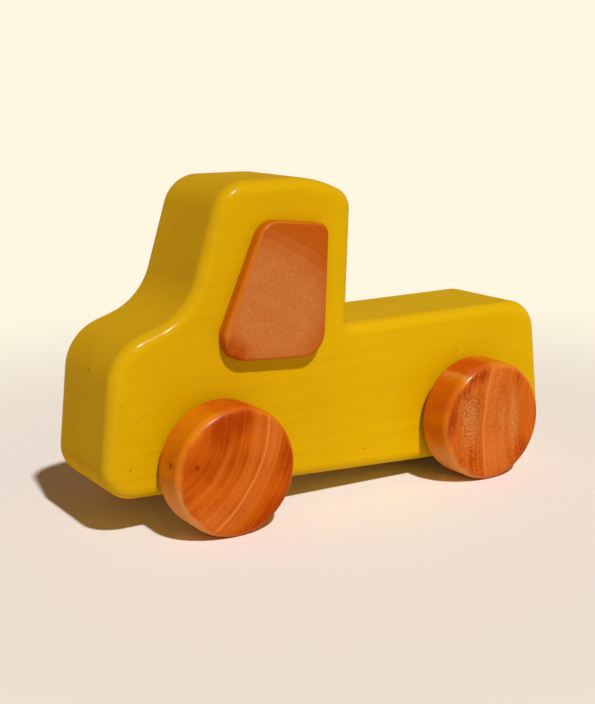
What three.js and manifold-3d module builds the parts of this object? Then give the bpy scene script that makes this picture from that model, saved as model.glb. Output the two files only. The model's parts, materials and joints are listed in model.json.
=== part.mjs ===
// Wooden toy pickup truck: one painted block that rolls on two wheelsets, with a window plate on each side.
// Millimetres. +X points to the nose, +Y to the left side and +Z up.
// The origin lies on the floor, under the middle of the truck.
import * as THREE from 'three';
import { mergeVertices } from 'three/addons/utils/BufferGeometryUtils.js';
import Module from 'manifold-3d';

// Body block, side view: lengths run from the tail foot to the nose, heights from the underside
const BODY_WIDTH = 38;
const BED_LENGTH = 86;
const BED_HEIGHT = 48.4;
const BED_RISE = 4.4;
const TAIL_RAKE = 8.2;
const ROOF_LENGTH = 46.2;
const ROOF_HEIGHT = 95;
const ROOF_FRONT_DROP = 1.4;
const ROOF_REAR_DROP = 5.4;
const CROWN_SETBACK = 32.5;
const WINDSCREEN_RUN = 10.1;
const HOOD_LENGTH = 24.6;
const HOOD_HEIGHT = 45.1;
const HOOD_RISE = 9.8;
const NOSE_RAKE = 2.8;

// Rounds of the body block
const EDGE_ROUND = 4;
const TAIL_TOP_ROUND = 11.2;
const TAIL_FOOT_ROUND = 15;
const NOSE_FOOT_ROUND = 10;
const HOOD_ROUND = 16.1;
const WINDSCREEN_SWEEP = 21.2;
const ROOF_FRONT_ROUND = 11.7;
const CROWN_ROUND = 40;
const ROOF_REAR_ROUND = 6.9;
const CAB_FOOT_ROUND = 1;

// Window plates, placed from the cab's back and from the roof's crown
const WINDOW_THICKNESS = 3.9;
const WINDOW_BACK_INSET = 11.3;
const WINDOW_ROOF_GAP = 12.6;
const WINDOW_HEIGHT = 42.7;
const WINDOW_TOP_LENGTH = 23;
const WINDOW_TOP_DROP = 1.3;
const WINDOW_SILL_LENGTH = 39;
const WINDOW_SILL_RISE = 0.7;
const WINDOW_EDGE_ROUND = 1.2;
const WINDOW_SILL_BACK_ROUND = 7.8;
const WINDOW_SILL_FRONT_ROUND = 7.6;
const WINDOW_TOP_FRONT_ROUND = 6.8;
const WINDOW_TOP_BACK_ROUND = 3.6;

// Axle bores in the block: the rear one is drilled higher, so the truck stands a little nose up
const FRONT_BORE_INSET = 36.45;
const FRONT_BORE_HEIGHT = 9.3;
const REAR_BORE_INSET = 36.45;
const REAR_BORE_HEIGHT = 15.1;

// Axles and wheels
const AXLE_RADIUS = 4;
const AXLE_CHAMFER = 0.6;
const WHEEL_RADIUS = 20;
const WHEEL_WIDTH = 14.4;
const WHEEL_SIDE_GAP = 1.5;
const WHEEL_SOCKET_DEPTH = 9;
const WHEEL_SHOULDER = 3;
const WHEEL_INNER_ROUND = 1.5;
const WHEEL_FACE_SLOPE = THREE.MathUtils.degToRad(5);

// Fits: the axle runs freely in the block, and glued pieces stand off by the glue line
const RUNNING_CLEARANCE = 0.3;
const GLUE_LINE = 0.3;

// Finishes
const YELLOW_PAINT = { color: 0xdca609, roughness: 0.35, metalness: 0 };
const STAINED_WOOD = { color: 0xbe6420, roughness: 0.4, metalness: 0 };
const PLAIN_WOOD = { color: 0xd9b382, roughness: 0.7, metalness: 0 };

// Facets
const ARC_DIVISIONS = 4;
const EDGE_STEPS = 4;
const WINDOW_EDGE_STEPS = 2;
const AXLE_SIDES = 32;
const WHEEL_SIDES = 40;
const WHEEL_ARC_DIVISIONS = 2;

// The truck's two sides, as names and as signs along Y
const SIDES = [['left', 1], ['right', -1]];

const wasm = await Module();
wasm.setup();

// A closed outline through the corners, each rounded by an arc of its own radius.
// Where an edge is too short for the rounds at both its ends, they shrink together.
function roundedOutline(corners) {
  const points = corners.map(({ x, y }) => new THREE.Vector2(x, y));
  const next = (i) => (i + 1) % corners.length;
  const last = (i) => (i + corners.length - 1) % corners.length;
  const along = (i, j) => points[j].clone().sub(points[i]).normalize();
  const halfAngles = points.map((_, i) => Math.acos(along(i, last(i)).dot(along(i, next(i)))) / 2);
  const reaches = corners.map(({ round }, i) => round / Math.tan(halfAngles[i]));
  const room = (i, j) => points[i].distanceTo(points[j]) / (reaches[i] + reaches[j]);

  const outline = new THREE.Shape();
  corners.forEach(({ round }, i) => {
    const radius = round * Math.min(1, room(last(i), i), room(i, next(i)));
    const inward = along(i, last(i)).add(along(i, next(i))).normalize();
    const centre = points[i].clone().addScaledVector(inward, radius / Math.sin(halfAngles[i]));
    const reach = radius / Math.tan(halfAngles[i]);
    const start = points[i].clone().addScaledVector(along(i, last(i)), reach).sub(centre);
    const end = points[i].clone().addScaledVector(along(i, next(i)), reach).sub(centre);
    outline.absarc(centre.x, centre.y, radius, start.angle(), end.angle(), start.cross(end) < 0);
  });
  return outline;
}

// A board cut to a side-view outline, centred on the XZ plane, with its edges rounded over on both faces.
function roundedBoard(outline, width, edgeRound, edgeSteps) {
  const depth = width - 2 * edgeRound;
  const board = new THREE.ExtrudeGeometry(outline, {
    depth,
    curveSegments: ARC_DIVISIONS,
    bevelThickness: edgeRound,
    bevelSize: edgeRound,
    bevelOffset: -edgeRound,
    bevelSegments: edgeSteps,
  });
  return board.translate(0, 0, -depth / 2).rotateX(Math.PI / 2);
}

function toSolid(geometry) {
  const bare = geometry.clone();
  bare.deleteAttribute('normal');
  bare.deleteAttribute('uv');
  const merged = mergeVertices(bare);
  return new wasm.Manifold(new wasm.Mesh({
    numProp: 3,
    vertProperties: merged.attributes.position.array,
    triVerts: Uint32Array.from(merged.index.array),
  }));
}

function toGeometry(solid) {
  const { vertProperties, triVerts } = solid.getMesh();
  const geometry = new THREE.BufferGeometry();
  geometry.setAttribute('position', new THREE.BufferAttribute(vertProperties, 3));
  geometry.setIndex(new THREE.BufferAttribute(triVerts, 1));
  geometry.computeVertexNormals();
  return geometry;
}

function makeMesh(name, geometry, finish) {
  const mesh = new THREE.Mesh(geometry, new THREE.MeshStandardMaterial(finish));
  mesh.name = name;
  return mesh;
}

// Stations along the block
const cabBack = BED_LENGTH;
const roofFront = cabBack + ROOF_LENGTH;
const windscreenFoot = roofFront + WINDSCREEN_RUN;
const hoodFront = windscreenFoot + HOOD_LENGTH;
const noseFoot = hoodFront + NOSE_RAKE;
const frontBore = new THREE.Vector3(noseFoot - FRONT_BORE_INSET, 0, FRONT_BORE_HEIGHT);
const rearBore = new THREE.Vector3(REAR_BORE_INSET, 0, REAR_BORE_HEIGHT);

function bodyGeometry() {
  const outline = roundedOutline([
    { x: 0, y: 0, round: TAIL_FOOT_ROUND },
    { x: noseFoot, y: 0, round: NOSE_FOOT_ROUND },
    { x: hoodFront, y: HOOD_HEIGHT, round: HOOD_ROUND },
    { x: windscreenFoot, y: HOOD_HEIGHT + HOOD_RISE, round: WINDSCREEN_SWEEP },
    { x: roofFront, y: ROOF_HEIGHT - ROOF_FRONT_DROP, round: ROOF_FRONT_ROUND },
    { x: roofFront - CROWN_SETBACK, y: ROOF_HEIGHT, round: CROWN_ROUND },
    { x: cabBack, y: ROOF_HEIGHT - ROOF_REAR_DROP, round: ROOF_REAR_ROUND },
    { x: cabBack, y: BED_HEIGHT, round: CAB_FOOT_ROUND },
    { x: TAIL_RAKE, y: BED_HEIGHT + BED_RISE, round: TAIL_TOP_ROUND },
  ]);
  const boreRadius = AXLE_RADIUS + RUNNING_CLEARANCE;
  const drill = new THREE.CylinderGeometry(boreRadius, boreRadius, 2 * BODY_WIDTH, AXLE_SIDES);
  let block = toSolid(roundedBoard(outline, BODY_WIDTH, EDGE_ROUND, EDGE_STEPS));
  for (const bore of [frontBore, rearBore]) {
    block = block.subtract(toSolid(drill.clone().translate(bore.x, bore.y, bore.z)));
  }
  return toGeometry(block);
}

// Half of a board split along its middle: flat where it is glued on, rounded over outside. side is 1 or -1.
function windowGeometry(side) {
  const back = cabBack + WINDOW_BACK_INSET;
  const top = ROOF_HEIGHT - WINDOW_ROOF_GAP;
  const sill = top - WINDOW_HEIGHT;
  const outline = roundedOutline([
    { x: back, y: sill, round: WINDOW_SILL_BACK_ROUND },
    { x: back + WINDOW_SILL_LENGTH, y: sill + WINDOW_SILL_RISE, round: WINDOW_SILL_FRONT_ROUND },
    { x: back + WINDOW_TOP_LENGTH, y: top, round: WINDOW_TOP_FRONT_ROUND },
    { x: back, y: top - WINDOW_TOP_DROP, round: WINDOW_TOP_BACK_ROUND },
  ]);
  const board = roundedBoard(outline, 2 * WINDOW_THICKNESS, WINDOW_EDGE_ROUND, WINDOW_EDGE_STEPS);
  const span = 2 * (noseFoot + ROOF_HEIGHT);
  const otherHalf = new THREE.BoxGeometry(span, 2 * WINDOW_THICKNESS, span);
  otherHalf.translate(0, -side * WINDOW_THICKNESS, 0);
  return toGeometry(toSolid(board).subtract(toSolid(otherHalf)));
}

// A turned dowel with chamfered ends, along Y.
function axleGeometry() {
  const half = BODY_WIDTH / 2 + WHEEL_SIDE_GAP + WHEEL_SOCKET_DEPTH - GLUE_LINE;
  const profile = [
    [0, -half],
    [AXLE_RADIUS - AXLE_CHAMFER, -half],
    [AXLE_RADIUS, AXLE_CHAMFER - half],
    [AXLE_RADIUS, half - AXLE_CHAMFER],
    [AXLE_RADIUS - AXLE_CHAMFER, half],
    [0, half],
  ];
  return new THREE.LatheGeometry(profile.map(([r, y]) => new THREE.Vector2(r, y)), AXLE_SIDES);
}

// A thick turned disc along Y: its inner face, with the blind socket for the axle, lies at y = 0.
function wheelGeometry() {
  const socket = AXLE_RADIUS + GLUE_LINE;
  const shoulderEnd = Math.PI / 2 - WHEEL_FACE_SLOPE;
  const faceRadius = WHEEL_RADIUS - WHEEL_SHOULDER * (1 - Math.cos(shoulderEnd));
  const crown = Math.tan(WHEEL_FACE_SLOPE) * faceRadius / 2;
  const shoulderHeight = WHEEL_WIDTH - crown - WHEEL_SHOULDER * Math.sin(shoulderEnd);
  const rim = WHEEL_RADIUS - WHEEL_INNER_ROUND;
  const profile = new THREE.Path();
  profile.moveTo(0, WHEEL_SOCKET_DEPTH);
  profile.lineTo(socket, WHEEL_SOCKET_DEPTH);
  profile.lineTo(socket, 0);
  profile.lineTo(rim, 0);
  profile.absarc(rim, WHEEL_INNER_ROUND, WHEEL_INNER_ROUND, -Math.PI / 2, 0);
  profile.absarc(WHEEL_RADIUS - WHEEL_SHOULDER, shoulderHeight, WHEEL_SHOULDER, 0, shoulderEnd);
  profile.quadraticCurveTo(faceRadius / 2, WHEEL_WIDTH, 0, WHEEL_WIDTH);
  return new THREE.LatheGeometry(profile.getPoints(WHEEL_ARC_DIVISIONS), WHEEL_SIDES);
}

// The block and its window plates, turned nose up until both bores lie at the wheels' centre height
const block = new THREE.Group();
block.rotation.y = -Math.atan2(rearBore.z - frontBore.z, frontBore.x - rearBore.x);
block.position.z = WHEEL_RADIUS - frontBore.clone().applyEuler(block.rotation).z;
block.updateMatrix();
block.add(makeMesh('body_block', bodyGeometry(), YELLOW_PAINT));
for (const [sideName, side] of SIDES) {
  const plate = makeMesh(`${sideName}_window_plate`, windowGeometry(side), STAINED_WOOD);
  plate.position.y = side * (BODY_WIDTH / 2 + GLUE_LINE);
  block.add(plate);
}

// A wheelset: an axle with a wheel glued on each end
function makeWheelset(endName, bore) {
  const wheelset = new THREE.Group();
  wheelset.position.copy(bore).applyMatrix4(block.matrix);
  wheelset.add(makeMesh(`${endName}_axle`, axleGeometry(), PLAIN_WOOD));
  for (const [sideName, side] of SIDES) {
    const wheel = makeMesh(`${endName}_${sideName}_wheel`, wheelGeometry(), STAINED_WOOD);
    wheel.position.y = side * (BODY_WIDTH / 2 + WHEEL_SIDE_GAP);
    wheel.rotation.z = side > 0 ? 0 : Math.PI;
    wheelset.add(wheel);
  }
  return wheelset;
}

const truck = new THREE.Group();
truck.add(block, makeWheelset('front', frontBore), makeWheelset('rear', rearBore));
const box = new THREE.Box3().setFromObject(truck, true);
truck.position.set(-(box.min.x + box.max.x) / 2, 0, -box.min.z);

export default truck;
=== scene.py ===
"""A wooden toy pickup truck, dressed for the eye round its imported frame.

Lengths are metres in the frame's own axes: +X to the nose, +Y to the truck's left side, +Z up.
Inside a finish, places are millimetres in the piece's own axes.
"""

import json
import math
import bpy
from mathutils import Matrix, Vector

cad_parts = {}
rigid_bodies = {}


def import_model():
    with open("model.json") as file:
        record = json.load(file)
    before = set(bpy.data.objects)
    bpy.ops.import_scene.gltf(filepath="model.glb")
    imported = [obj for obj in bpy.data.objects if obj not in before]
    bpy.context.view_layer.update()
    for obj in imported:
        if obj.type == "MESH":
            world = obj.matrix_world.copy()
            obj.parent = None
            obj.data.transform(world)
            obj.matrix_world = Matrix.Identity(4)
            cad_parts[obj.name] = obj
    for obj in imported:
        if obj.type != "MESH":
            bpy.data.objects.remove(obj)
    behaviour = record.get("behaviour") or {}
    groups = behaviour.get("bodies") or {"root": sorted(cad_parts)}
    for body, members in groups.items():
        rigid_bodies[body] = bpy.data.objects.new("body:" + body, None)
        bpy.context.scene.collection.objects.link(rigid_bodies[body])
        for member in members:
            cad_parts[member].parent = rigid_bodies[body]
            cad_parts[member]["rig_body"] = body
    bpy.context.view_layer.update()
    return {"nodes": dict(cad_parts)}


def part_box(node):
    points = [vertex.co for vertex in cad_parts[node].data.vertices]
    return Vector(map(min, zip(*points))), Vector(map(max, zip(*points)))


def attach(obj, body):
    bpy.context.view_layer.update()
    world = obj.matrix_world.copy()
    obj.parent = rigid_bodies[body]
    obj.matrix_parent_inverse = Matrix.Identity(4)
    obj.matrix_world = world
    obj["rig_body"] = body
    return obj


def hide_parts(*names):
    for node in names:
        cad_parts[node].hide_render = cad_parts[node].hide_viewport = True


bl_info = {
    "name": "Wooden Toy Truck",
    "version": (1, 0, 0),
    "blender": (4, 5, 0),
    "location": "3D View > Sidebar > Toy Truck",
    "description": "Builds a painted wooden pickup truck with stained windows and turned wheels",
    "category": "Add Mesh",
}

from types import SimpleNamespace
from typing import NamedTuple

import bmesh
import bpy
from bpy.props import FloatProperty, FloatVectorProperty, PointerProperty
from bpy.types import Operator, Panel, PropertyGroup
from mathutils import Matrix, Quaternion, Vector

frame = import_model()

# The photograph's height in pixels, and the camera's sensor that spans it, in millimetres
IMAGE_HEIGHT = 704
SENSOR = 36.0

# Nearest thing that the camera shows, in metres
CLIP_START = 0.01

# Smoothness of the meshes
ARC_STEPS = 14
EDGE_STEPS = 10
FACE_STEPS = 16
BORE_SIDES = 64
TURNED_SIDES = 160
FLOOR_SIDES = 64
SHARP_ANGLE = math.radians(35)

# A millimetre in metres
MM = 0.001

# What noise gives on average
NOISE_MIDDLE = 0.5


def box_size(node):
    low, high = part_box(node)
    return high - low


def box_centre(node):
    low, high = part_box(node)
    return (low + high) / 2


def length(name, description, default):
    return FloatProperty(
        name=name, description=description, default=default, min=0.0, precision=4,
        unit="LENGTH", subtype="DISTANCE",
    )


def angle(name, description, degrees):
    return FloatProperty(
        name=name, description=description, default=math.radians(degrees),
        unit="ROTATION", subtype="ANGLE",
    )


def amount(name, description, default):
    return FloatProperty(name=name, description=description, default=default, min=0.0)


def colour(name, description, default):
    return FloatVectorProperty(
        name=name, description=description, default=default, size=3, min=0.0, max=1.0, subtype="COLOR",
    )


class BodySizes(PropertyGroup):
    """The painted block in side view: lengths run from the tail's foot, heights from the underside."""

    width: length("Width", "Thickness of the timber block", box_size("body_block").y)
    bed_length: length("Bed length", "From the tail's foot to the back of the cab", 0.086)
    bed_height: length("Bed height", "Height of the bed at the cab", 0.0484)
    bed_rise: length("Bed rise", "How much higher the bed is at the tail", 0.0044)
    tail_rake: length("Tail rake", "How far the tail's foot juts back", 0.0082)
    roof_length: length("Roof length", "From the back of the cab to the roof's front corner", 0.0462)
    roof_height: length("Roof height", "Height of the roof's crown", 0.095)
    roof_front_drop: length("Roof front drop", "From the crown down to the front corner", 0.0014)
    roof_rear_drop: length("Roof rear drop", "From the crown down to the rear corner", 0.0054)
    crown_setback: length("Crown setback", "From the roof's front corner back to the crown", 0.0325)
    windscreen_run: length("Windscreen run", "How far the windscreen leans forward", 0.0101)
    hood_length: length("Hood length", "From the windscreen's foot to the nose", 0.0246)
    hood_height: length("Hood height", "Height of the hood at the nose", 0.0451)
    hood_rise: length("Hood rise", "How much the hood climbs to the windscreen", 0.0098)
    nose_rake: length("Nose rake", "How far the nose's foot juts forward", 0.0028)
    edge_round: length("Edge round", "Round along both side faces", 0.004)
    tail_top_round: length("Tail top round", "Round of the tail's upper corner", 0.0112)
    tail_foot_round: length("Tail foot round", "Round of the tail's lower corner", 0.015)
    nose_foot_round: length("Nose foot round", "Round of the nose's lower corner", 0.010)
    hood_round: length("Hood round", "Round between the nose and the hood", 0.0161)
    windscreen_sweep: length("Windscreen sweep", "Hollow between the hood and the windscreen", 0.0212)
    roof_front_round: length("Roof front round", "Round of the roof's front corner", 0.0117)
    crown_round: length("Crown round", "Round of the roof's crown", 0.04)
    roof_rear_round: length("Roof rear round", "Round of the roof's rear corner", 0.0069)
    cab_foot_round: length("Cab foot round", "Hollow between the cab and the bed", 0.001)
    front_bore_inset: length("Front bore inset", "From the nose's foot to the front bore", 0.03645)
    front_bore_height: length("Front bore height", "Height of the front bore", 0.0093)
    rear_bore_inset: length("Rear bore inset", "From the tail's foot to the rear bore", 0.03645)
    rear_bore_height: length("Rear bore height", "Height of the rear bore", 0.0151)
    bore_clearance: length("Bore clearance", "Room all round the axle in its bore", 0.0003)


class WindowSizes(PropertyGroup):
    """A window plate, placed from the cab's back and from the roof's crown."""

    back_inset: length("Back inset", "From the back of the cab to the plate", 0.0113)
    roof_gap: length("Roof gap", "From the crown down to the plate's front top corner", 0.0126)
    height: length("Height", "From the sill's rear end up to the front top corner", 0.0427)
    top_length: length("Top length", "Length of the plate's top edge", 0.023)
    top_drop: length("Top drop", "How much the top edge falls to the back", 0.0013)
    sill_length: length("Sill length", "Length of the plate's sill", 0.039)
    sill_rise: length("Sill rise", "How much the sill climbs to the front", 0.0007)
    edge_round: length("Edge round", "Round of the outer edge", 0.0012)
    sill_back_round: length("Sill back round", "Round of the sill's rear corner", 0.0078)
    sill_front_round: length("Sill front round", "Round of the sill's front corner", 0.0076)
    top_front_round: length("Top front round", "Round of the upper front corner", 0.0068)
    top_back_round: length("Top back round", "Round of the upper rear corner", 0.0036)


class WheelSizes(PropertyGroup):
    """A turned wheel and the dowel that carries it."""

    radius: length("Radius", "Radius of the tread", box_size("front_left_wheel").z / 2)
    width: length("Width", "From the inner face to the outer crown", box_size("front_left_wheel").y)
    shoulder: length("Shoulder", "Round between the tread and the outer face", 0.003)
    inner_round: length("Inner round", "Round between the tread and the inner face", 0.0015)
    face_slope: angle("Face slope", "Slope of the domed face at its rim", 5)
    socket_depth: length("Socket depth", "Depth of the blind socket for the axle", 0.009)
    glue_line: length("Glue line", "Room all round the axle in its socket", 0.0003)
    axle_radius: length("Axle radius", "Radius of the dowel", box_size("front_axle").z / 2)
    axle_chamfer: length("Axle chamfer", "Chamfer at the dowel's ends", 0.0006)


class Colours(PropertyGroup):
    """Colours of the finishes, in linear light."""

    paint: colour("Paint", "Yellow paint", (0.68, 0.422, 0.0006))
    # Also the colour towards which painted shade darkens the paint near the nose
    paint_deep: colour("Deep paint", "Yellow paint where it lies thick", (0.585, 0.338, 0.0005))
    paint_pit: colour("Paint pit", "Dirt in the pinholes of the paint", (0.22, 0.13, 0.01))
    stain: colour("Stain", "Stained wheel wood", (0.54, 0.104, 0.002))
    # Also the colour of the painted shade in the wheels' dark patches and at the window plates' lower front
    # corner
    stain_deep: colour("Deep stain", "Wheel wood where the stain lies thick", (0.35, 0.043, 0.0005))
    stain_pale: colour("Pale stain", "Growth rings that took little stain", (0.64, 0.195, 0.036))
    amber: colour("Amber", "Tread where the lacquer lies thick", (0.68, 0.21, 0.001))
    tread_red: colour("Red tread", "Tread where the stain lies thick", (0.56, 0.09, 0.002))
    # Also the painted reflection of the floor on the lower front of the left wheels' treads
    tread_pale_and_sheen: colour("Pale tread", "Tread where little stain took", (0.72, 0.30, 0.085))
    fleck: colour("Flecks", "Dry flecks and rubbed specks in the stained wood", (0.58, 0.27, 0.08))
    knot: colour("Knot", "Pin knots in the wheel wood", (0.24, 0.022, 0.001))
    window: colour("Window", "Face of the window plates", (0.49, 0.15, 0.037))
    # Also carries the painted shade at the window plates' lower front corner
    window_deep: colour("Deep window", "Darker growth rings of the window plates", (0.43, 0.080, 0.0015))
    window_edge: colour("Window edge", "Lacquered edge of the window plates", (0.55, 0.142, 0.004))
    dowel: colour("Dowel", "Bare dowel", (0.65, 0.45, 0.24))
    dowel_deep: colour("Deep dowel", "Grain lines of the bare dowel", (0.48, 0.30, 0.14))
    floor: colour("Floor", "Plain pale floor", (0.94, 0.915, 0.90))
    backdrop: colour("Backdrop", "What lies behind the floor", (1.0, 0.93, 0.75))
    key: colour("Key light", "Tint of the key light", (1.0, 0.98, 0.95))
    fill: colour("Fill light", "Tint of the light from all round", (1.0, 0.70, 0.40))
    fill_above: colour("Fill from above", "Tint of the fill light overhead", (1.0, 0.50, 0.10))


class StageSizes(PropertyGroup):
    """Camera, lights and floor."""

    aim: FloatVectorProperty(
        name="Aim", description="Where the camera looks", default=(0.0058, 0.0, 0.0450),
        unit="LENGTH", subtype="TRANSLATION",
    )
    azimuth: angle("Azimuth", "Camera's bearing round the truck", 148.51)
    elevation: angle("Elevation", "Camera's height above the horizon", 12.5)
    roll: angle("Roll", "Camera's turn about its line of sight", -1.1)
    distance: length("Distance", "From the camera to its aim", 0.4243)
    focal_pixels: amount("Focal length", "Focal length in pixels of the photograph", 1293.5)
    key_azimuth: angle("Key azimuth", "Key light's bearing round the truck", 177.5)
    key_elevation: angle("Key elevation", "Key light's height above the horizon", 50)
    key_angle: angle("Key size", "How wide the key light looks from the truck", 3)
    key_power: amount("Key power", "Strength of the key light", 2.9)
    fill_power: amount("Fill power", "Strength of the light from all round", 0.48)
    fill_power_above: amount("Fill power above", "Strength of the light from overhead", 0.11)
    floor_radius: length("Floor radius", "Reach of the floor", 6.0)
    fade_start: length("Fade start", "Where the floor begins to fade into the backdrop", 0.11)
    fade_end: length("Fade end", "Where the floor has faded into the backdrop", 0.36)


class TruckSettings(PropertyGroup):
    """All that can be set on the truck and its stage."""

    body: PointerProperty(type=BodySizes)
    window: PointerProperty(type=WindowSizes)
    wheel: PointerProperty(type=WheelSizes)
    colours: PointerProperty(type=Colours)
    stage: PointerProperty(type=StageSizes)


class Field:
    """One value for each point of a surface: a socket that takes part in Python's arithmetic."""

    def __init__(self, finish, socket):
        self.finish = finish
        self.socket = socket

    def maths(self, operation, first, second=0.0):
        return self.finish.node(
            "ShaderNodeMath", {"operation": operation}, {"Value": first, "Value_001": second}
        )

    def __add__(self, other):
        return self.maths("ADD", self, other)

    def __radd__(self, other):
        return self.maths("ADD", other, self)

    def __sub__(self, other):
        return self.maths("SUBTRACT", self, other)

    def __rsub__(self, other):
        return self.maths("SUBTRACT", other, self)

    def __mul__(self, other):
        return self.maths("MULTIPLY", self, other)

    def __rmul__(self, other):
        return self.maths("MULTIPLY", other, self)

    def __abs__(self):
        return self.maths("ABSOLUTE", self)

    def most(self, other):
        return self.maths("MAXIMUM", self, other)

    def bearing(self, other):
        """The angle whose tangent is this value over the other one."""
        return self.maths("ARCTAN2", self, other)

    def rise(self, low, high):
        """Climbs smoothly from 0 at low to 1 at high."""
        return self.finish.node(
            "ShaderNodeMapRange",
            {"interpolation_type": "SMOOTHSTEP"},
            {"Value": self, "From Min": low, "From Max": high},
        )

    def fall(self, low, high):
        """Drops smoothly from 1 at low to 0 at high."""
        return 1.0 - self.rise(low, high)

    def swing(self, strength):
        """Noise turned into a change about 0."""
        return strength * (self - NOISE_MIDDLE)

    def band(self, middle, half_width, edges):
        """1 round a middle value, dropping to 0 between two shares of the half width on either side."""
        return abs(self - middle).fall(edges[0] * half_width, edges[1] * half_width)


class Finish:
    """A node tree that is written as expressions."""

    def __init__(self, tree):
        self.tree = tree
        self.tree.nodes.clear()

    def node(self, kind, settings=None, sockets=None, output=None):
        """Adds a node, makes its settings, then fills or links its sockets, and gives one output."""
        made = self.tree.nodes.new(kind)
        for name, value in (settings or {}).items():
            setattr(made, name, value)
        inputs = {socket.identifier: socket for socket in made.inputs}
        for name, value in (sockets or {}).items():
            if isinstance(value, Field):
                self.tree.links.new(value.socket, inputs[name])
            else:
                inputs[name].default_value = value
        outputs = {socket.identifier: socket for socket in made.outputs}
        if not outputs:
            return None
        return Field(self, outputs[output] if output else made.outputs[0])

    def place(self, matrix):
        """Where a point lies in a piece's own axes, in millimetres."""
        move, turn, _ = matrix.decompose()
        seat = self.node("ShaderNodeTexCoord", output="Object")
        return self.node(
            "ShaderNodeMapping",
            {"vector_type": "TEXTURE"},
            {"Vector": seat, "Location": move, "Rotation": turn.to_euler(), "Scale": (MM, MM, MM)},
        )

    def split(self, vector):
        made = self.node("ShaderNodeSeparateXYZ", None, {"Vector": vector}, "X")
        outputs = made.socket.node.outputs
        return [Field(self, outputs[axis]) for axis in "XYZ"]

    def join(self, x, y, z):
        return self.node("ShaderNodeCombineXYZ", None, {"X": x, "Y": y, "Z": z})

    def distance(self, vector, point):
        return self.node(
            "ShaderNodeVectorMath",
            {"operation": "DISTANCE"},
            {"Vector": vector, "Vector_001": point},
            "Value",
        )

    def noise(self, vector, scale=1.0, detail=2.0, roughness=0.5):
        """Cloudy values about 0.5."""
        return self.node(
            "ShaderNodeTexNoise",
            None,
            {"Vector": vector, "Scale": scale, "Detail": detail, "Roughness": roughness},
            "Fac",
        )

    def cells(self, vector, scale):
        """Distance to the nearest of points scattered in space, in cells."""
        return self.node("ShaderNodeTexVoronoi", None, {"Vector": vector, "Scale": scale}, "Distance")

    def dashes(self, across, along):
        """Distance to the nearest of points scattered over a face, about one to each unit square."""
        return self.node(
            "ShaderNodeTexVoronoi",
            {"voronoi_dimensions": "2D"},
            {"Vector": self.join(across, along, 0.0), "Scale": 1.0, "Randomness": 0.8},
            "Distance",
        )

    def oval(self, x, z, centre, reach):
        """How far out from an oval's middle a point lies: 1 on the oval itself."""
        across = (x - centre[0]) * (1 / reach[0])
        along = (z - centre[1]) * (1 / reach[1])
        return self.distance(self.join(across, 0.0, along), (0, 0, 0))

    def mix(self, factor, first, second):
        """One colour going over into another."""
        return self.node(
            "ShaderNodeMix",
            {"data_type": "RGBA"},
            {"Factor_Float": factor, "A_Color": opaque(first), "B_Color": opaque(second)},
            "Result_Color",
        )

    def bump(self, height):
        """A normal bent by heights in millimetres."""
        return self.node("ShaderNodeBump", None, {"Height": height, "Strength": 1.0, "Distance": MM})

    def surface(self, sockets):
        shader = self.node("ShaderNodeBsdfPrincipled", None, sockets)
        self.node("ShaderNodeOutputMaterial", None, {"Surface": shader})


def opaque(paint):
    return paint if isinstance(paint, Field) else (*paint, 1.0)


def new_finish(name):
    material = bpy.data.materials.new(name)
    material.use_nodes = True
    return material, Finish(material.node_tree)


# Pinholes in the paint that catch the eye: places in millimetres from the tail's foot, and strengths
PAINT_PITS = (
    ((167.2, 2, 37.2), 1.0), ((167.9, 10, 29.6), 0.8), ((164, 19, 29), 0.5), ((159, 19, 24), 0.5),
    ((161.2, 19, 9.6), 0.9), ((42, 19, 37), 0.6), ((40, 19, 40), 0.4), ((52.8, 19, 28.8), 0.6),
    ((78, 19, 7), 0.6), ((77, 19, 3), 0.5),
)

# Grain under the paint, in waves to a millimetre along, across and up the block
PAINT_LINES = (0.02, 0.7, 1.5)
PAINT_BANDS = (0.009, 0.12, 0.28)
PAINT_VEINS = (0.007, 0.1, 0.55)

# Clouds in the paint's colour and waves in its surface, in waves to a millimetre
PAINT_CLOUDS = 0.035
PAINT_WAVES = 0.03

# How far the grain drops for each millimetre towards the nose
PAINT_GRAIN_DROP = 0.09

# Between these lengths from the tail the paint darkens towards the nose as painted shade, and between these
# heights its dark veins fade out
PAINT_NOSE_SHADE = (55.0, 145.0)
PAINT_VEINS_FADE = (6.0, 30.0)

# Relief of the paint in millimetres: its grain, its broad waves and its pinholes
PAINT_LINE_RELIEF = 0.008
PAINT_WAVE_RELIEF = 0.2
PAINT_PIT_RELIEF = 0.12

# Gloss of the rubbed flat sides, and what the rounded edges and all other faces have beyond it
PAINT_SIDE_GLOSS = 0.012
PAINT_EDGE_GLOSS = 0.022
PAINT_COAT_IOR = 3.0

# The clear lacquer on the stained wood
LACQUER_IOR = 2.0


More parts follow.
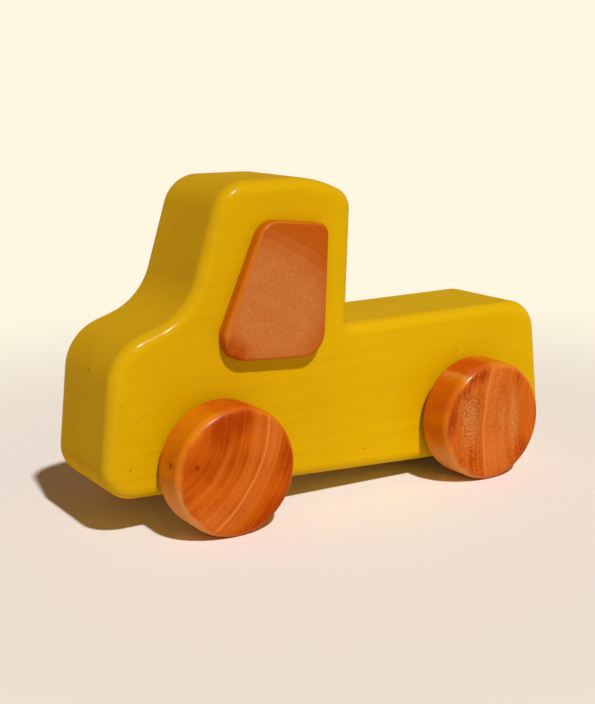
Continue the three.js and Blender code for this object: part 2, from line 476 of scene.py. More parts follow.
def yellow_paint(colours, seat, side):
    """Brushed gloss paint through which the grain shows, rubbed duller on the flat sides at y = side."""
    material, finish = new_finish("yellow_paint")
    block = finish.place(seat)
    x, y, z = finish.split(block)
    lie = z + PAINT_GRAIN_DROP * x

    def grain(scales, detail):
        """Noise drawn out along the block's grain."""
        along, across, up = scales
        return finish.noise(finish.join(along * x, across * y, up * lie), detail=detail)

    fine = grain(PAINT_LINES, 4.0)
    broad = grain(PAINT_BANDS, 2.0)
    veins = grain(PAINT_VEINS, 3.0).rise(0.56, 0.72) * z.fall(*PAINT_VEINS_FADE)
    clouds = finish.noise(block, PAINT_CLOUDS)
    waves = finish.noise(block, PAINT_WAVES, 1.0)
    # Painted shade: the paint grows darker towards the nose, on top of its deeper veins, grain and clouds
    depth_and_shade = 0.2 + 0.5 * x.rise(*PAINT_NOSE_SHADE) + 0.5 * veins
    depth_and_shade = depth_and_shade + fine.swing(0.6) + broad.swing(0.5) + clouds.swing(0.9)

    pits = 0.4 * finish.cells(block, 0.05).fall(0.006, 0.02)
    for pit, strength in PAINT_PITS:
        pits = pits.most(strength * finish.distance(block, pit).fall(0.1, 0.7))

    gloss = PAINT_SIDE_GLOSS + PAINT_EDGE_GLOSS * abs(y).fall(side - 0.4, side - 0.05)
    paint = finish.mix(depth_and_shade, colours.paint, colours.paint_deep)
    relief = PAINT_LINE_RELIEF * fine + PAINT_WAVE_RELIEF * waves - PAINT_PIT_RELIEF * pits
    finish.surface({
        "Base Color": finish.mix(0.6 * pits, paint, colours.paint_pit),
        "Roughness": 0.45 + fine.swing(0.12) + 0.25 * pits,
        "Specular IOR Level": 0.0,
        "Coat Weight": gloss * (1.0 - 0.9 * pits),
        "Coat Roughness": 0.2,
        "Coat IOR": PAINT_COAT_IOR,
        "Normal": finish.bump(relief),
    })
    return material


class Timber(NamedTuple):
    """How a wheel was cut from its stick and lacquered, in millimetres on its outer face: X forward, Z up.

    Pale rings are (radius from the pith, half width, strength). Pale and dark patches and dry flecks fill
    ovals (x, z, half length, half height, strength); the dark patches are partly stain lying thick and partly
    painted shade on the shaded side of a face. Knots are (x, y from the inner face, z, radius). Red and pale
    tread are (degrees from the front over the top, half width in degrees, strength), and a red strength below
    0 leaves the tread more amber; the pale tread is partly wood that took little stain and partly painted
    reflection of the floor on the lower front of the left wheels. Paleness says how little stain the whole
    face took, pores how clearly fine rays cross its rings, coat and coat_roughness how glossy its lacquer is,
    and the seed gives each wheel a grain of its own.
    """

    pith: tuple
    pale_rings: tuple
    pale_patches: tuple = ()
    stain_and_shade_patches: tuple = ()
    flecks: tuple = ()
    knots: tuple = ()
    red_tread: tuple = ()
    pale_and_sheen_tread: tuple = ()
    paleness: float = 0.0
    pores: float = 0.4
    coat: float = 0.14
    coat_roughness: float = 0.28
    seed: float = 0.0


WHEEL_TIMBER = {
    "front_left_wheel": Timber(
        pith=(33, 20),
        pale_rings=(
            (44, 0.45, 0.85), (41.5, 3.2, 0.13), (39.4, 0.5, 0.14), (46.4, 1.5, 0.22), (48.6, 0.4, 0.2),
            (32, 0.5, 0.12), (28, 0.5, 0.14),
        ),
        pale_patches=((10, -12, 7, 6, 0.18), (-10, 8, 5, 7, 0.15)),
        stain_and_shade_patches=(
            (0.5, 17, 9, 7, 1.0), (5, 12, 8, 6, 0.5), (-18, -2, 5, 15, 0.9),
            (-8, -17.5, 9, 4, 0.6), (3, 6, 12, 12, 0.25), (14, 5, 8, 9, 0.4), (-13, -13, 7, 6, 0.9),
        ),
        knots=((19.5, 8.1, 4.4, 1.2), (13.7, 13.9, 4.2, 1.15)),
        red_tread=((92, 20, 0.7), (58, 10, -0.3)),
        pale_and_sheen_tread=((-32, 34, 0.75),),
        paleness=0.02,
        pores=0.3,
        coat=0.11,
        coat_roughness=0.3,
        seed=3.0,
    ),
    "rear_left_wheel": Timber(
        pith=(-46.8, -3),
        pale_rings=((52, 0.5, 0.6), (49.6, 2.2, 0.3), (43.6, 0.4, 0.2), (46, 3.0, 0.12)),
        pale_patches=((-1, -10, 6, 9, 0.25),),
        stain_and_shade_patches=(
            (18.5, 6.5, 4.5, 9, 1.2), (14, 12.5, 5, 5, 1.0), (7, 17, 7, 4, 1.0), (10, 4, 6, 13, 0.45),
            (-13, -11, 5, 5, 0.3), (11, -13, 8, 6, 0.3), (-10, 14, 4, 4, 0.4),
        ),
        flecks=((10.8, 2.5, 5.0, 13, 1.0), (-7.4, 0, 2.8, 13, 1.0), (-2.8, 1, 2.2, 10, 0.6)),
        red_tread=((33, 22, 0.6), (72, 16, 0.9)),
        pale_and_sheen_tread=((-45, 28, 0.6), (55, 4, 0.4)),
        paleness=0.18,
        pores=0.9,
        coat=0.12,
        coat_roughness=0.22,
        seed=11.0,
    ),
    "front_right_wheel": Timber(
        pith=(-42, 24),
        pale_rings=((52, 0.35, 0.6), (43, 1.9, 0.25), (59, 0.3, 0.4), (36, 0.6, 0.2)),
        stain_and_shade_patches=((7, -11, 9, 6, 0.6), (-12, 8, 5, 8, 0.4)),
        flecks=((4, 2, 3.5, 10, 0.35),),
        knots=((-6.5, 14.0, 8.0, 0.8),),
        red_tread=((40, 25, 0.6), (150, 20, 0.5)),
        pale_and_sheen_tread=((95, 12, 0.5), (-60, 25, 0.5)),
        paleness=0.12,
        seed=23.0,
    ),
    "rear_right_wheel": Timber(
        pith=(30, -38),
        pale_rings=((47, 0.3, 0.6), (55, 1.6, 0.2), (40, 0.35, 0.35), (33, 0.8, 0.2)),
        stain_and_shade_patches=((-8, 10, 8, 6, 0.6), (12, -6, 5, 8, 0.4)),
        flecks=((-6, -3, 4, 9, 0.4), (6, 5, 3, 8, 0.3)),
        red_tread=((110, 25, 0.6), (-20, 20, 0.5)),
        pale_and_sheen_tread=((30, 10, 0.5), (-90, 20, 0.4)),
        paleness=0.18,
        seed=37.0,
    ),
}

# Where a wheel's tread goes over into its face, in millimetres from the inner face
RIM_LINE = 13.15

# Wheel wood, in waves to a millimetre across its growth rings and along them
RING_BANDS = (0.3, 0.01)
RING_LINES = (1.0, 0.02)
RING_RAYS = (0.7, 1.7)
RING_FLECKS = (0.6, 1.5)

# The same across its fibres and along them, and for its clouds of stain and the mottle of its tread
WHEEL_FIBRES = (2.4, 0.1)
WHEEL_CLOUDS = 0.11
WHEEL_MOTTLE = 0.25

# Radius in millimetres at which lengths along the growth rings are measured, and how far the rings sway
RING_RADIUS = 50.0
RING_SWAY = 1.6

# How softly pale rings, red and pale tread and knots end, as shares of their half widths
PALE_RING_EDGES = (0.2, 1.6)
RED_TREAD_EDGES = (0.4, 1.3)
PALE_TREAD_EDGES = (0.3, 1.2)
KNOT_EDGES = (0.2, 1.2)

# How many degrees the strips of red and pale tread stray
TREAD_STRAY = 9.0


def wheel_wood(node, colours, seat):
    """Stained and lacquered wood with its fibres along the axle, so that the face shows growth rings."""
    timber = WHEEL_TIMBER[node]
    material, finish = new_finish(f"{node}_wood")
    wheel = finish.place(seat)
    x, y, z = finish.split(wheel)
    pith_x, pith_z = timber.pith
    sway = finish.noise(finish.join(x + timber.seed, 0.2 * y, z), 0.07)
    radius = finish.distance(finish.join(x, 0.0, z), (pith_x, 0, pith_z)) + sway.swing(RING_SWAY)
    around = RING_RADIUS * (z - pith_z).bearing(x - pith_x)

    def ringed(scales, detail, roughness=0.5):
        """Noise drawn out along the growth rings."""
        across, along = scales
        place = finish.join(across * radius, timber.seed, along * around)
        return finish.noise(place, 1.0, detail, roughness)

    def patches(ovals):
        """The sum of soft ovals."""
        total = 0.0
        for patch_x, patch_z, length_x, height_z, strength in ovals:
            out = finish.oval(x, z, (patch_x, patch_z), (length_x, height_z))
            total = total + strength * out.fall(0.0, 1.2)
        return total

    broad = ringed(RING_BANDS, 2.0)
    lines = ringed(RING_LINES, 3.0, 0.6)
    rays = ringed(RING_RAYS, 1.0)
    ticks = finish.dashes(RING_FLECKS[0] * radius, RING_FLECKS[1] * around).fall(0.12, 0.62)
    across, along = WHEEL_FIBRES
    fibres = finish.noise(finish.join(across * x, along * y + timber.seed, across * z))
    clouds = finish.noise(finish.join(x, 0.3 * y + timber.seed, z), WHEEL_CLOUDS)
    mottle = finish.noise(finish.join(x, y + timber.seed, z), WHEEL_MOTTLE, 3.0)

    pale = timber.paleness + broad.swing(0.5) - lines.swing(0.4) + rays.swing(timber.pores)
    pale = pale + patches(timber.pale_patches) * (0.4 + 1.2 * clouds)
    for ring, half_width, strength in timber.pale_rings:
        pale = pale.most(0.0) + strength * radius.band(ring, half_width, PALE_RING_EDGES)
    # Dark patches: partly stain lying thick, partly painted shade on the shaded side of the face
    deep = patches(timber.stain_and_shade_patches) * (2.6 * lines - 0.3)
    dark = 0.2 - broad.swing(0.9) + lines.swing(1.0) + clouds.swing(1.4)
    dark = dark - rays.swing(timber.pores) + deep
    dry = patches(timber.flecks) * y.rise(RIM_LINE - 0.2, RIM_LINE + 0.4)
    flecks = dry * ticks * clouds.rise(0.15, 0.45)
    wood = finish.mix(dark, colours.stain, colours.stain_deep)
    wood = finish.mix(pale - 0.3 * deep, wood, colours.stain_pale)
    wood = finish.mix(0.2 * dry + 0.7 * flecks, wood, colours.fleck)

    turn = z.bearing(x) * math.degrees(1.0) + mottle.swing(TREAD_STRAY)
    red = 0.25 + clouds.swing(1.4) + fibres.swing(0.6) + mottle.swing(1.2)
    for bearing, half_width, strength in timber.red_tread:
        red = red + strength * turn.band(bearing, half_width, RED_TREAD_EDGES)
    # Pale tread: partly wood that took little stain, partly painted reflection of the floor on the lower
    # front of the left wheels
    pale_and_sheen = fibres.swing(0.4) + mottle.swing(0.5)
    for bearing, half_width, strength in timber.pale_and_sheen_tread:
        pale_and_sheen = pale_and_sheen.most(0.0) + strength * turn.band(bearing, half_width, PALE_TREAD_EDGES)
    tread = finish.mix(red, colours.amber, colours.tread_red)
    tread = finish.mix(pale_and_sheen, tread, colours.tread_pale_and_sheen)

    wood = finish.mix((y + clouds.swing(1.2)).rise(RIM_LINE - 0.6, RIM_LINE + 0.3), tread, wood)
    for knot_x, knot_y, knot_z, reach in timber.knots:
        spot = finish.distance(wheel, (knot_x, knot_y, knot_z)).band(0.0, reach, KNOT_EDGES)
        wood = finish.mix(0.8 * spot, wood, colours.knot)
    finish.surface({
        "Base Color": wood,
        "Roughness": 0.5 + fibres.swing(0.15) + 0.2 * flecks,
        "Specular IOR Level": 0.0,
        "Coat Weight": timber.coat * (0.25 + 0.75 * y.fall(RIM_LINE + 0.05, RIM_LINE + 0.5)),
        "Coat Roughness": timber.coat_roughness,
        "Coat IOR": LACQUER_IOR,
        "Normal": finish.bump(0.03 * fibres + 0.02 * lines + 0.03 * flecks),
    })
    return material


# The heart of the window plates' growth rings, far below the nose, and how far the rings sway
WINDOW_PITH = (168, 0, -44)
WINDOW_RING_SWAY = 2.5

# Window wood, in waves to a millimetre: its rings, specks and scuffs, and its fibres across and along
WINDOW_RINGS = 0.6
WINDOW_SPECKS = 1.25
WINDOW_SCUFFS = 0.25
WINDOW_FIBRES = (1.3, 0.1)

# Up to the first of these radii the face is rubbed hazy, and rings beyond the second kept their stain
WINDOW_RUBBED = (120.5, 140.5)

# Middle of a window plate and its half length and half height
WINDOW_MIDDLE = (115, 59)
WINDOW_SPREAD = (19, 23)

# The lower front corner, darkened as painted shade where it faces down and away from the key light, and how
# far that painted shade reaches along and up the plate
WINDOW_SHADED_CORNER = (134, 42)
WINDOW_SHADE_SPREAD = (12, 7)

# The slanting front edge: its outward direction along X and Z, and how far out it lies
WINDOW_FRONT = (0.9345, 0.356, 141.8)

# The plate's top, and how much wider the amber edge grows for each millimetre below it
WINDOW_TOP = 82.0
WINDOW_EDGE_GROWTH = 0.04

# How far apart the two plates were cut from their board, in millimetres
WINDOW_CUT = 60.0


def window_wood(name, colours, seat, outer_face, shift):
    """Stained end grain: a finely specked face, rubbed hazy, with a lacquered amber edge to the front."""
    material, finish = new_finish(name)
    block = finish.place(seat)
    x, y, z = finish.split(block)
    face = finish.join(x + shift, 0.0, z)
    sway = finish.noise(face, 0.06)
    radius = finish.distance(finish.join(x, 0.0, z), WINDOW_PITH) + sway.swing(WINDOW_RING_SWAY)
    rings = finish.noise(finish.join(WINDOW_RINGS * radius, shift, 0.0), detail=3.0, roughness=0.6)
    specks = finish.noise(face, WINDOW_SPECKS, 3.0, 0.7)
    scuffs = finish.noise(face, WINDOW_SCUFFS, 3.0)
    across, along = WINDOW_FIBRES
    fibres = finish.noise(finish.join(across * x, along * y + shift, across * z), detail=3.0)
    slant = finish.join(0.22 * x + 0.3 * z, shift, 0.5 * x - 0.35 * z)
    scratches = finish.cells(slant, 1.0).fall(0.02, 0.12)

    rubbed = radius.fall(*WINDOW_RUBBED)
    haze = rubbed * finish.oval(x, z, WINDOW_MIDDLE, WINDOW_SPREAD).fall(0.6, 1.25)
    # Painted shade over the lower front corner, broken up by scuffs
    shade = finish.oval(x, z, WINDOW_SHADED_CORNER, WINDOW_SHADE_SPREAD).fall(0.2, 1.1) * scuffs.rise(0.3, 0.6)
    inside = WINDOW_FRONT[2] - WINDOW_FRONT[0] * x - WINDOW_FRONT[1] * z
    inside = inside + WINDOW_EDGE_GROWTH * (z - WINDOW_TOP) + specks.swing(1.2)
    outer = abs(y).rise(outer_face - 0.35, outer_face - 0.05) * inside.rise(0.4, 1.3)

    deep = 1.0 - 0.75 * haze + rings.swing(2.8) * (1.2 - rubbed) + specks.swing(1.6) + 0.9 * shade
    dust = haze * (0.16 + specks.swing(2.4) + scuffs.swing(0.5)) + 0.4 * scratches * rubbed
    edge = finish.mix(shade + 1.1 * (fibres - 0.4), colours.window_edge, colours.window_deep)
    wood = finish.mix(deep, colours.window, colours.window_deep)
    wood = finish.mix(dust, wood, colours.fleck)
    # Painted shade: the lower front corner goes over towards the deep wheel stain
    wood = finish.mix(0.9 * shade, wood, colours.stain_deep)
    finish.surface({
        "Base Color": finish.mix(outer, edge, wood),
        "Roughness": 0.45 + 0.15 * outer + specks.swing(0.15),
        "Specular IOR Level": 0.0,
        "Coat Weight": 0.14 - 0.12 * outer,
        "Coat Roughness": 0.25,
        "Coat IOR": LACQUER_IOR,
        "Normal": finish.bump(0.03 * specks + 0.02 * rings),
    })
    return material


def dowel_wood(colours, seat):
    """Bare dowel with grain lines along it."""
    material, finish = new_finish("plain_dowel_wood")
    dowel = finish.place(seat)
    x, y, z = finish.split(dowel)
    grain = finish.noise(finish.join(1.6 * x, 0.06 * y, 1.6 * z), detail=4.0, roughness=0.6)
    finish.surface({
        "Base Color": finish.mix(grain.rise(0.35, 0.7), colours.dowel, colours.dowel_deep),
        "Roughness": 0.6 + grain.swing(0.2),
        "Specular IOR Level": 0.3,
        "Normal": finish.bump(0.05 * grain),
    })
    return material


def seen_directly(finish):
    """1 on rays from the camera, a reflection or a clear piece, and 0 on those that only carry light."""
    path = finish.node("ShaderNodeLightPath", output="Is Camera Ray")
    outputs = path.socket.node.outputs
    for ray in ("Is Glossy Ray", "Is Transmission Ray"):
        path = path.most(Field(finish, outputs[ray]))
    return path


def floor_finish(colours, stage):
    """Plain pale floor that goes over into the backdrop's colour at a distance."""
    material, finish = new_finish("pale_floor")
    seat = finish.node("ShaderNodeTexCoord", output="Object")
    away = finish.distance(seat, (0, 0, 0)).rise(stage.fade_start, stage.fade_end)
    matt = finish.node(
        "ShaderNodeBsdfPrincipled",
        None,
        {"Base Color": opaque(colours.floor), "Roughness": 0.85, "Specular IOR Level": 0.1},
    )
    glow = finish.node("ShaderNodeEmission", None, {"Color": opaque(colours.backdrop)})
    shader = finish.node(
        "ShaderNodeMixShader", None, {"Fac": away * seen_directly(finish), "Shader": matt, "Shader_001": glow}
    )
    finish.node("ShaderNodeOutputMaterial", None, {"Surface": shader})
    return material


def rounded_outline(corners):
    """Points and outward normals round a closed outline whose corners are (x, z, radius).

    Where an edge is too short for the rounds at both its ends, they shrink together.
    """
    count = len(corners)
    points = [Vector(corner[:2]) for corner in corners]
    edges = [points[(i + 1) % count] - points[i] for i in range(count)]
    headings = [math.atan2(edge.y, edge.x) for edge in edges]
    turns = [math.remainder(headings[i] - headings[i - 1], math.tau) for i in range(count)]
    reaches = [corners[i][2] * math.tan(abs(turns[i]) / 2) for i in range(count)]
    rooms = [edges[i].length / (reaches[i] + reaches[(i + 1) % count]) for i in range(count)]
    outline = []
    for i in range(count):
        shrink = min(1.0, rooms[i - 1], rooms[i])
        radius = math.copysign(corners[i][2] * shrink, turns[i])
        first = headings[i - 1]
        start = points[i] - Vector((math.cos(first), math.sin(first))) * reaches[i] * shrink
        centre = start + Vector((-math.sin(first), math.cos(first))) * radius
        for step in range(ARC_STEPS + 1):
            heading = first + turns[i] * step / ARC_STEPS
            normal = Vector((math.sin(heading), -math.cos(heading)))
            outline.append((centre + normal * radius, normal))
    return outline


def quarter_round(radius, outer, side):
    """Rings (inset, y) that roll an edge over, from the face at y = side * outer to the rim."""
    rings = []
    for step in range(EDGE_STEPS + 1):
        turn = math.pi / 2 * (1 - step / EDGE_STEPS)
        rings.append((radius * (1 - math.cos(turn)), side * (outer - radius * (1 - math.sin(turn)))))
    return rings


def bridge(shape, first, second):
    for i in range(len(first)):
        shape.faces.new((first[i - 1], first[i], second[i], second[i - 1]))


def loop_edges(shape, loop):
    return [shape.edges.get((loop[i - 1], loop[i])) for i in range(len(loop))]


def circle(shape, sides, radius, y, x=0.0, z=0.0):
    """New points round a circle about a line along Y."""
    turns = [math.tau * i / sides for i in range(sides)]
    return [shape.verts.new((x + radius * math.cos(t), y, z + radius * math.sin(t))) for t in turns]


def board(outline, rings, bores=()):
    """A board: the outline carried through rings of (inset, y), closed at both ends and drilled through.

    A bore is (x, z, radius).
    """
    shape = bmesh.new()
    loops = [
        [shape.verts.new((p.x - n.x * inset, y, p.y - n.y * inset)) for p, n in outline] for inset, y in rings
    ]
    for first, second in zip(loops, loops[1:]):
        bridge(shape, first, second)
    ends = [loop_edges(shape, loops[0]), loop_edges(shape, loops[-1])]
    for x, z, radius in bores:
        mouths = [circle(shape, BORE_SIDES, radius, y, x, z) for y in (rings[0][1], rings[-1][1])]
        bridge(shape, *mouths)
        for end, mouth in zip(ends, mouths):
            end.extend(loop_edges(shape, mouth))
    for end in ends:
        bmesh.ops.triangle_fill(shape, use_beauty=True, edges=end)
    bmesh.ops.recalc_face_normals(shape, faces=shape.faces)
    return shape


def turned(profile):
    """A piece turned about Y from (radius, y) points that start and end on the axis."""
    shape = bmesh.new()
    rings = [circle(shape, TURNED_SIDES, radius, y) for radius, y in profile[1:-1]]
    for first, second in zip(rings, rings[1:]):
        bridge(shape, first, second)
    for (_, y), ring in ((profile[0], rings[0]), (profile[-1], rings[-1])):
        tip = shape.verts.new((0.0, y, 0.0))
        for i in range(TURNED_SIDES):
            shape.faces.new((ring[i - 1], ring[i], tip))
    bmesh.ops.recalc_face_normals(shape, faces=shape.faces)
    return shape


def arc(centre, middle, radius, start, end):
    """Points (radius, y) of a turned profile along a round about (centre, middle)."""
    turns = [start + (end - start) * step / ARC_STEPS for step in range(ARC_STEPS + 1)]
    return [(centre + radius * math.cos(t), middle + radius * math.sin(t)) for t in turns]


def add_piece(name, shape, seat, node, material):
    """Turns a shape into a piece that stands for a CAD node, rides on its body and has its finish."""
    mesh = bpy.data.meshes.new(name)
    shape.transform(seat)
    shape.to_mesh(mesh)
    shape.free()
    mesh.shade_smooth()
    mesh.set_sharp_from_angle(angle=SHARP_ANGLE)
    mesh.materials.append(material)
    piece = bpy.data.objects.new(name, mesh)
    bpy.context.scene.collection.objects.link(piece)
    normals = piece.modifiers.new("Even normals", "WEIGHTED_NORMAL")
    normals.keep_sharp = True
    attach(piece, frame["nodes"][node]["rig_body"])
    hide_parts(node)


def block_layout(body):
    """Stations along the block, its bores, and the seat that turns it nose up onto the axles."""
    roof_front = body.bed_length + body.roof_length
    windscreen_foot = roof_front + body.windscreen_run
    hood_front = windscreen_foot + body.hood_length
    nose_foot = hood_front + body.nose_rake
    front_bore = Vector((nose_foot - body.front_bore_inset, 0, body.front_bore_height))
    rear_bore = Vector((body.rear_bore_inset, 0, body.rear_bore_height))
    reach = front_bore - rear_bore
    turn = Matrix.Rotation(math.atan2(reach.z, reach.x), 4, "Y")
    seat = Matrix.Translation(box_centre("front_axle") - turn @ front_bore) @ turn
    return SimpleNamespace(
        cab_back=body.bed_length,
        roof_front=roof_front,
        windscreen_foot=windscreen_foot,
        hood_front=hood_front,
        nose_foot=nose_foot,
        bores=(front_bore, rear_bore),
        seat=seat,
    )


class TOYTRUCK_OT_body_block(Operator):
    """Build the painted block"""

    bl_idname = "toy_truck.body_block"
    bl_label = "Body Block"

    def execute(self, context):
        settings = context.scene.toy_truck
        body = settings.body
        layout = block_layout(body)
        outline = rounded_outline([
            (0.0, 0.0, body.tail_foot_round),
            (layout.nose_foot, 0.0, body.nose_foot_round),
            (layout.hood_front, body.hood_height, body.hood_round),
            (layout.windscreen_foot, body.hood_height + body.hood_rise, body.windscreen_sweep),
            (layout.roof_front, body.roof_height - body.roof_front_drop, body.roof_front_round),
            (layout.roof_front - body.crown_setback, body.roof_height, body.crown_round),
            (layout.cab_back, body.roof_height - body.roof_rear_drop, body.roof_rear_round),
            (layout.cab_back, body.bed_height, body.cab_foot_round),
            (body.tail_rake, body.bed_height + body.bed_rise, body.tail_top_round),
        ])
        left = quarter_round(body.edge_round, body.width / 2, 1)
        right = quarter_round(body.edge_round, body.width / 2, -1)
        bore_radius = settings.wheel.axle_radius + body.bore_clearance
        shape = board(outline, left + right[::-1], [(bore.x, bore.z, bore_radius) for bore in layout.bores])
        paint = yellow_paint(settings.colours, layout.seat, body.width / 2 / MM)
        add_piece("painted_block", shape, layout.seat, "body_block", paint)
        return {"FINISHED"}


class TOYTRUCK_OT_window_plates(Operator):
    """Build the stained window plates on both sides of the cab"""

    bl_idname = "toy_truck.window_plates"
    bl_label = "Window Plates"

    def execute(self, context):
        settings = context.scene.toy_truck
        body = settings.body
        window = settings.window
        layout = block_layout(body)
        back = layout.cab_back + window.back_inset
        top = body.roof_height - window.roof_gap
        sill = top - window.height
        outline = rounded_outline([
            (back, sill, window.sill_back_round),
            (back + window.sill_length, sill + window.sill_rise, window.sill_front_round),
            (back + window.top_length, top, window.top_front_round),
            (back, top - window.top_drop, window.top_back_round),
        ])
        for side_name, side, shift in (("left", 1, 0.0), ("right", -1, WINDOW_CUT)):
            node = f"{side_name}_window_plate"
            inner, outer = sorted(abs(corner.y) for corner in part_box(node))
            rings = quarter_round(window.edge_round, outer, side) + [(0.0, side * inner)]
            wood = window_wood(f"{side_name}_window_wood", settings.colours, layout.seat, outer / MM, shift)
            add_piece(f"{side_name}_stained_window", board(outline, rings), layout.seat, node, wood)
        return {"FINISHED"}


class TOYTRUCK_OT_axles(Operator):
    """Build the two dowel axles"""

    bl_idname = "toy_truck.axles"
    bl_label = "Axles"

    def execute(self, context):
        settings = context.scene.toy_truck
        radius = settings.wheel.axle_radius
        chamfer = settings.wheel.axle_chamfer
        for end_name in ("front", "rear"):
            node = f"{end_name}_axle"
            half = box_size(node).y / 2
            profile = [
                (0.0, -half),
                (radius - chamfer, -half),
                (radius, chamfer - half),
                (radius, half - chamfer),
                (radius - chamfer, half),
                (0.0, half),
            ]
            seat = Matrix.Translation(box_centre(node))
            add_piece(f"{end_name}_dowel", turned(profile), seat, node, dowel_wood(settings.colours, seat))
        return {"FINISHED"}


class TOYTRUCK_OT_wheels(Operator):
    """Build the four turned wheels"""

    bl_idname = "toy_truck.wheels"
    bl_label = "Wheels"

    def profile(self, wheel):
        """From the bottom of the blind socket, round the tread, to the crown of the outer face."""
        socket = wheel.axle_radius + wheel.glue_line
        rim = wheel.radius - wheel.inner_round
        shoulder_end = math.pi / 2 - wheel.face_slope
        face_radius = wheel.radius - wheel.shoulder * (1 - math.cos(shoulder_end))
        crown = math.tan(wheel.face_slope) * face_radius / 2
        shoulder_height = wheel.width - crown - wheel.shoulder * math.sin(shoulder_end)
        profile = [(0.0, wheel.socket_depth), (socket, wheel.socket_depth), (socket, 0.0)]
        profile += arc(rim, wheel.inner_round, wheel.inner_round, -math.pi / 2, 0.0)
        profile += arc(wheel.radius - wheel.shoulder, shoulder_height, wheel.shoulder, 0.0, shoulder_end)
        for step in range(1, FACE_STEPS + 1):
            inward = step / FACE_STEPS
            profile.append((face_radius * (1 - inward), wheel.width - crown * (1 - inward) ** 2))
        return profile

    def execute(self, context):
        settings = context.scene.toy_truck
        for node in WHEEL_TIMBER:
            low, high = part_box(node)
            centre = box_centre(node)
            if centre.y > 0:
                seat = Matrix.Translation((centre.x, low.y, centre.z))
            else:
                seat = Matrix.Translation((centre.x, high.y, centre.z)) @ Matrix.Rotation(math.pi, 4, "Z")
            wood = wheel_wood(node, settings.colours, seat)
            name = node.replace("_wheel", "_turned_wheel")
            add_piece(name, turned(self.profile(settings.wheel)), seat, node, wood)
        return {"FINISHED"}


def direction(azimuth, elevation):
    """Which way something lies from the truck: azimuth 0 is towards -Y, and 90 degrees towards +X."""
    level = math.cos(elevation)
    return Vector((math.sin(azimuth) * level, -math.cos(azimuth) * level, math.sin(elevation)))


# Heights in a sky of radius 1 between which the fill goes over into the fill from above
FILL_HEIGHTS = (0.05, 0.65)


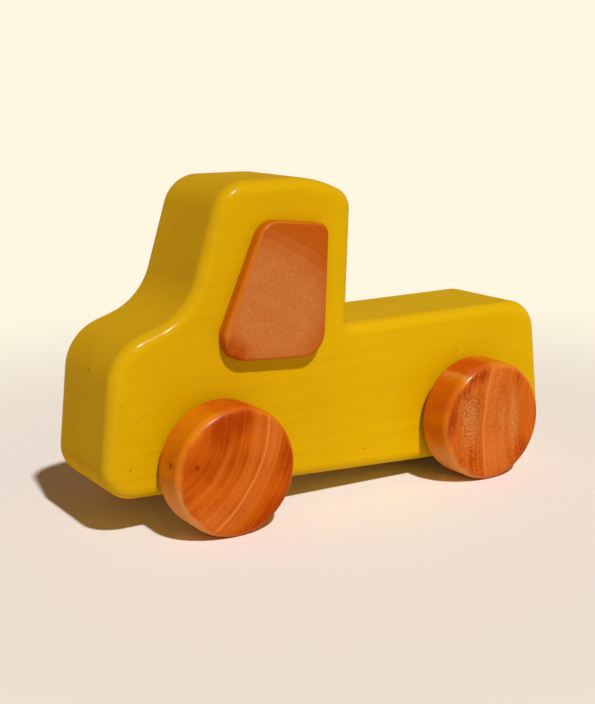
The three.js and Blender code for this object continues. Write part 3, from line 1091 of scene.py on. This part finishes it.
class TOYTRUCK_OT_stage(Operator):
    """Build the floor, the lights and the camera"""

    bl_idname = "toy_truck.stage"
    bl_label = "Stage"

    def execute(self, context):
        scene = context.scene
        colours = scene.toy_truck.colours
        stage = scene.toy_truck.stage
        scene.view_settings.view_transform = "Standard"
        self.add_floor(scene, colours, stage)
        self.add_world(scene, colours, stage)
        self.add_key(scene, colours, stage)
        self.add_camera(scene, stage)
        return {"FINISHED"}

    def add_floor(self, scene, colours, stage):
        shape = bmesh.new()
        bmesh.ops.create_circle(shape, cap_ends=True, segments=FLOOR_SIDES, radius=stage.floor_radius)
        mesh = bpy.data.meshes.new("floor")
        shape.to_mesh(mesh)
        shape.free()
        mesh.materials.append(floor_finish(colours, stage))
        floor = bpy.data.objects.new("floor", mesh)
        scene.collection.objects.link(floor)

    def add_world(self, scene, colours, stage):
        world = bpy.data.worlds.new("studio")
        world.use_nodes = True
        scene.world = world
        finish = Finish(world.node_tree)
        _, _, height = finish.split(finish.node("ShaderNodeTexCoord", output="Generated"))
        fill = finish.node(
            "ShaderNodeMixShader",
            None,
            {
                "Fac": height.rise(*FILL_HEIGHTS),
                "Shader": self.glow(finish, colours.fill, stage.fill_power),
                "Shader_001": self.glow(finish, colours.fill_above, stage.fill_power_above),
            },
        )
        backdrop = self.glow(finish, colours.backdrop, 1.0)
        shader = finish.node(
            "ShaderNodeMixShader",
            None,
            {"Fac": seen_directly(finish), "Shader": fill, "Shader_001": backdrop},
        )
        finish.node("ShaderNodeOutputWorld", None, {"Surface": shader})

    def glow(self, finish, tint, power):
        return finish.node("ShaderNodeBackground", None, {"Color": opaque(tint), "Strength": power})

    def add_key(self, scene, colours, stage):
        lamp = bpy.data.lights.new("key", "SUN")
        lamp.energy = stage.key_power
        lamp.color = colours.key
        lamp.angle = stage.key_angle
        key = bpy.data.objects.new("key", lamp)
        key.rotation_mode = "QUATERNION"
        key.rotation_quaternion = direction(stage.key_azimuth, stage.key_elevation).to_track_quat("Z", "Y")
        scene.collection.objects.link(key)

    def add_camera(self, scene, stage):
        lens = bpy.data.cameras.new("camera")
        lens.sensor_width = SENSOR
        lens.lens = SENSOR * stage.focal_pixels / IMAGE_HEIGHT
        lens.clip_start = CLIP_START
        camera = bpy.data.objects.new("camera", lens)
        back = direction(stage.azimuth, stage.elevation)
        camera.location = Vector(stage.aim) + back * stage.distance
        camera.rotation_mode = "QUATERNION"
        camera.rotation_quaternion = back.to_track_quat("Z", "Y") @ Quaternion((0, 0, 1), stage.roll)
        scene.collection.objects.link(camera)
        scene.camera = camera


class TOYTRUCK_PT_sidebar(Panel):
    """Lists the truck's builders and settings"""

    bl_idname = "TOYTRUCK_PT_sidebar"
    bl_label = "Wooden Toy Truck"
    bl_space_type = "VIEW_3D"
    bl_region_type = "UI"
    bl_category = "Toy Truck"

    def draw(self, context):
        settings = context.scene.toy_truck
        for builder, group in (
            (TOYTRUCK_OT_body_block, settings.body),
            (TOYTRUCK_OT_window_plates, settings.window),
            (TOYTRUCK_OT_axles, None),
            (TOYTRUCK_OT_wheels, settings.wheel),
            (TOYTRUCK_OT_stage, settings.stage),
        ):
            section = self.layout.box()
            section.operator(builder.bl_idname)
            if group:
                self.list_settings(section, group)
        self.list_settings(self.layout.box(), settings.colours)

    def list_settings(self, section, group):
        for name in group.__annotations__:
            section.prop(group, name)


CLASSES = (
    BodySizes,
    WindowSizes,
    WheelSizes,
    Colours,
    StageSizes,
    TruckSettings,
    TOYTRUCK_OT_body_block,
    TOYTRUCK_OT_window_plates,
    TOYTRUCK_OT_axles,
    TOYTRUCK_OT_wheels,
    TOYTRUCK_OT_stage,
    TOYTRUCK_PT_sidebar,
)


def register():
    for made in CLASSES:
        bpy.utils.register_class(made)
    bpy.types.Scene.toy_truck = PointerProperty(type=TruckSettings)


def unregister():
    del bpy.types.Scene.toy_truck
    for made in reversed(CLASSES):
        bpy.utils.unregister_class(made)


def main():
    register()
    bpy.ops.toy_truck.body_block()
    bpy.ops.toy_truck.window_plates()
    bpy.ops.toy_truck.axles()
    bpy.ops.toy_truck.wheels()
    bpy.ops.toy_truck.stage()


if __name__ == "__main__":
    main()
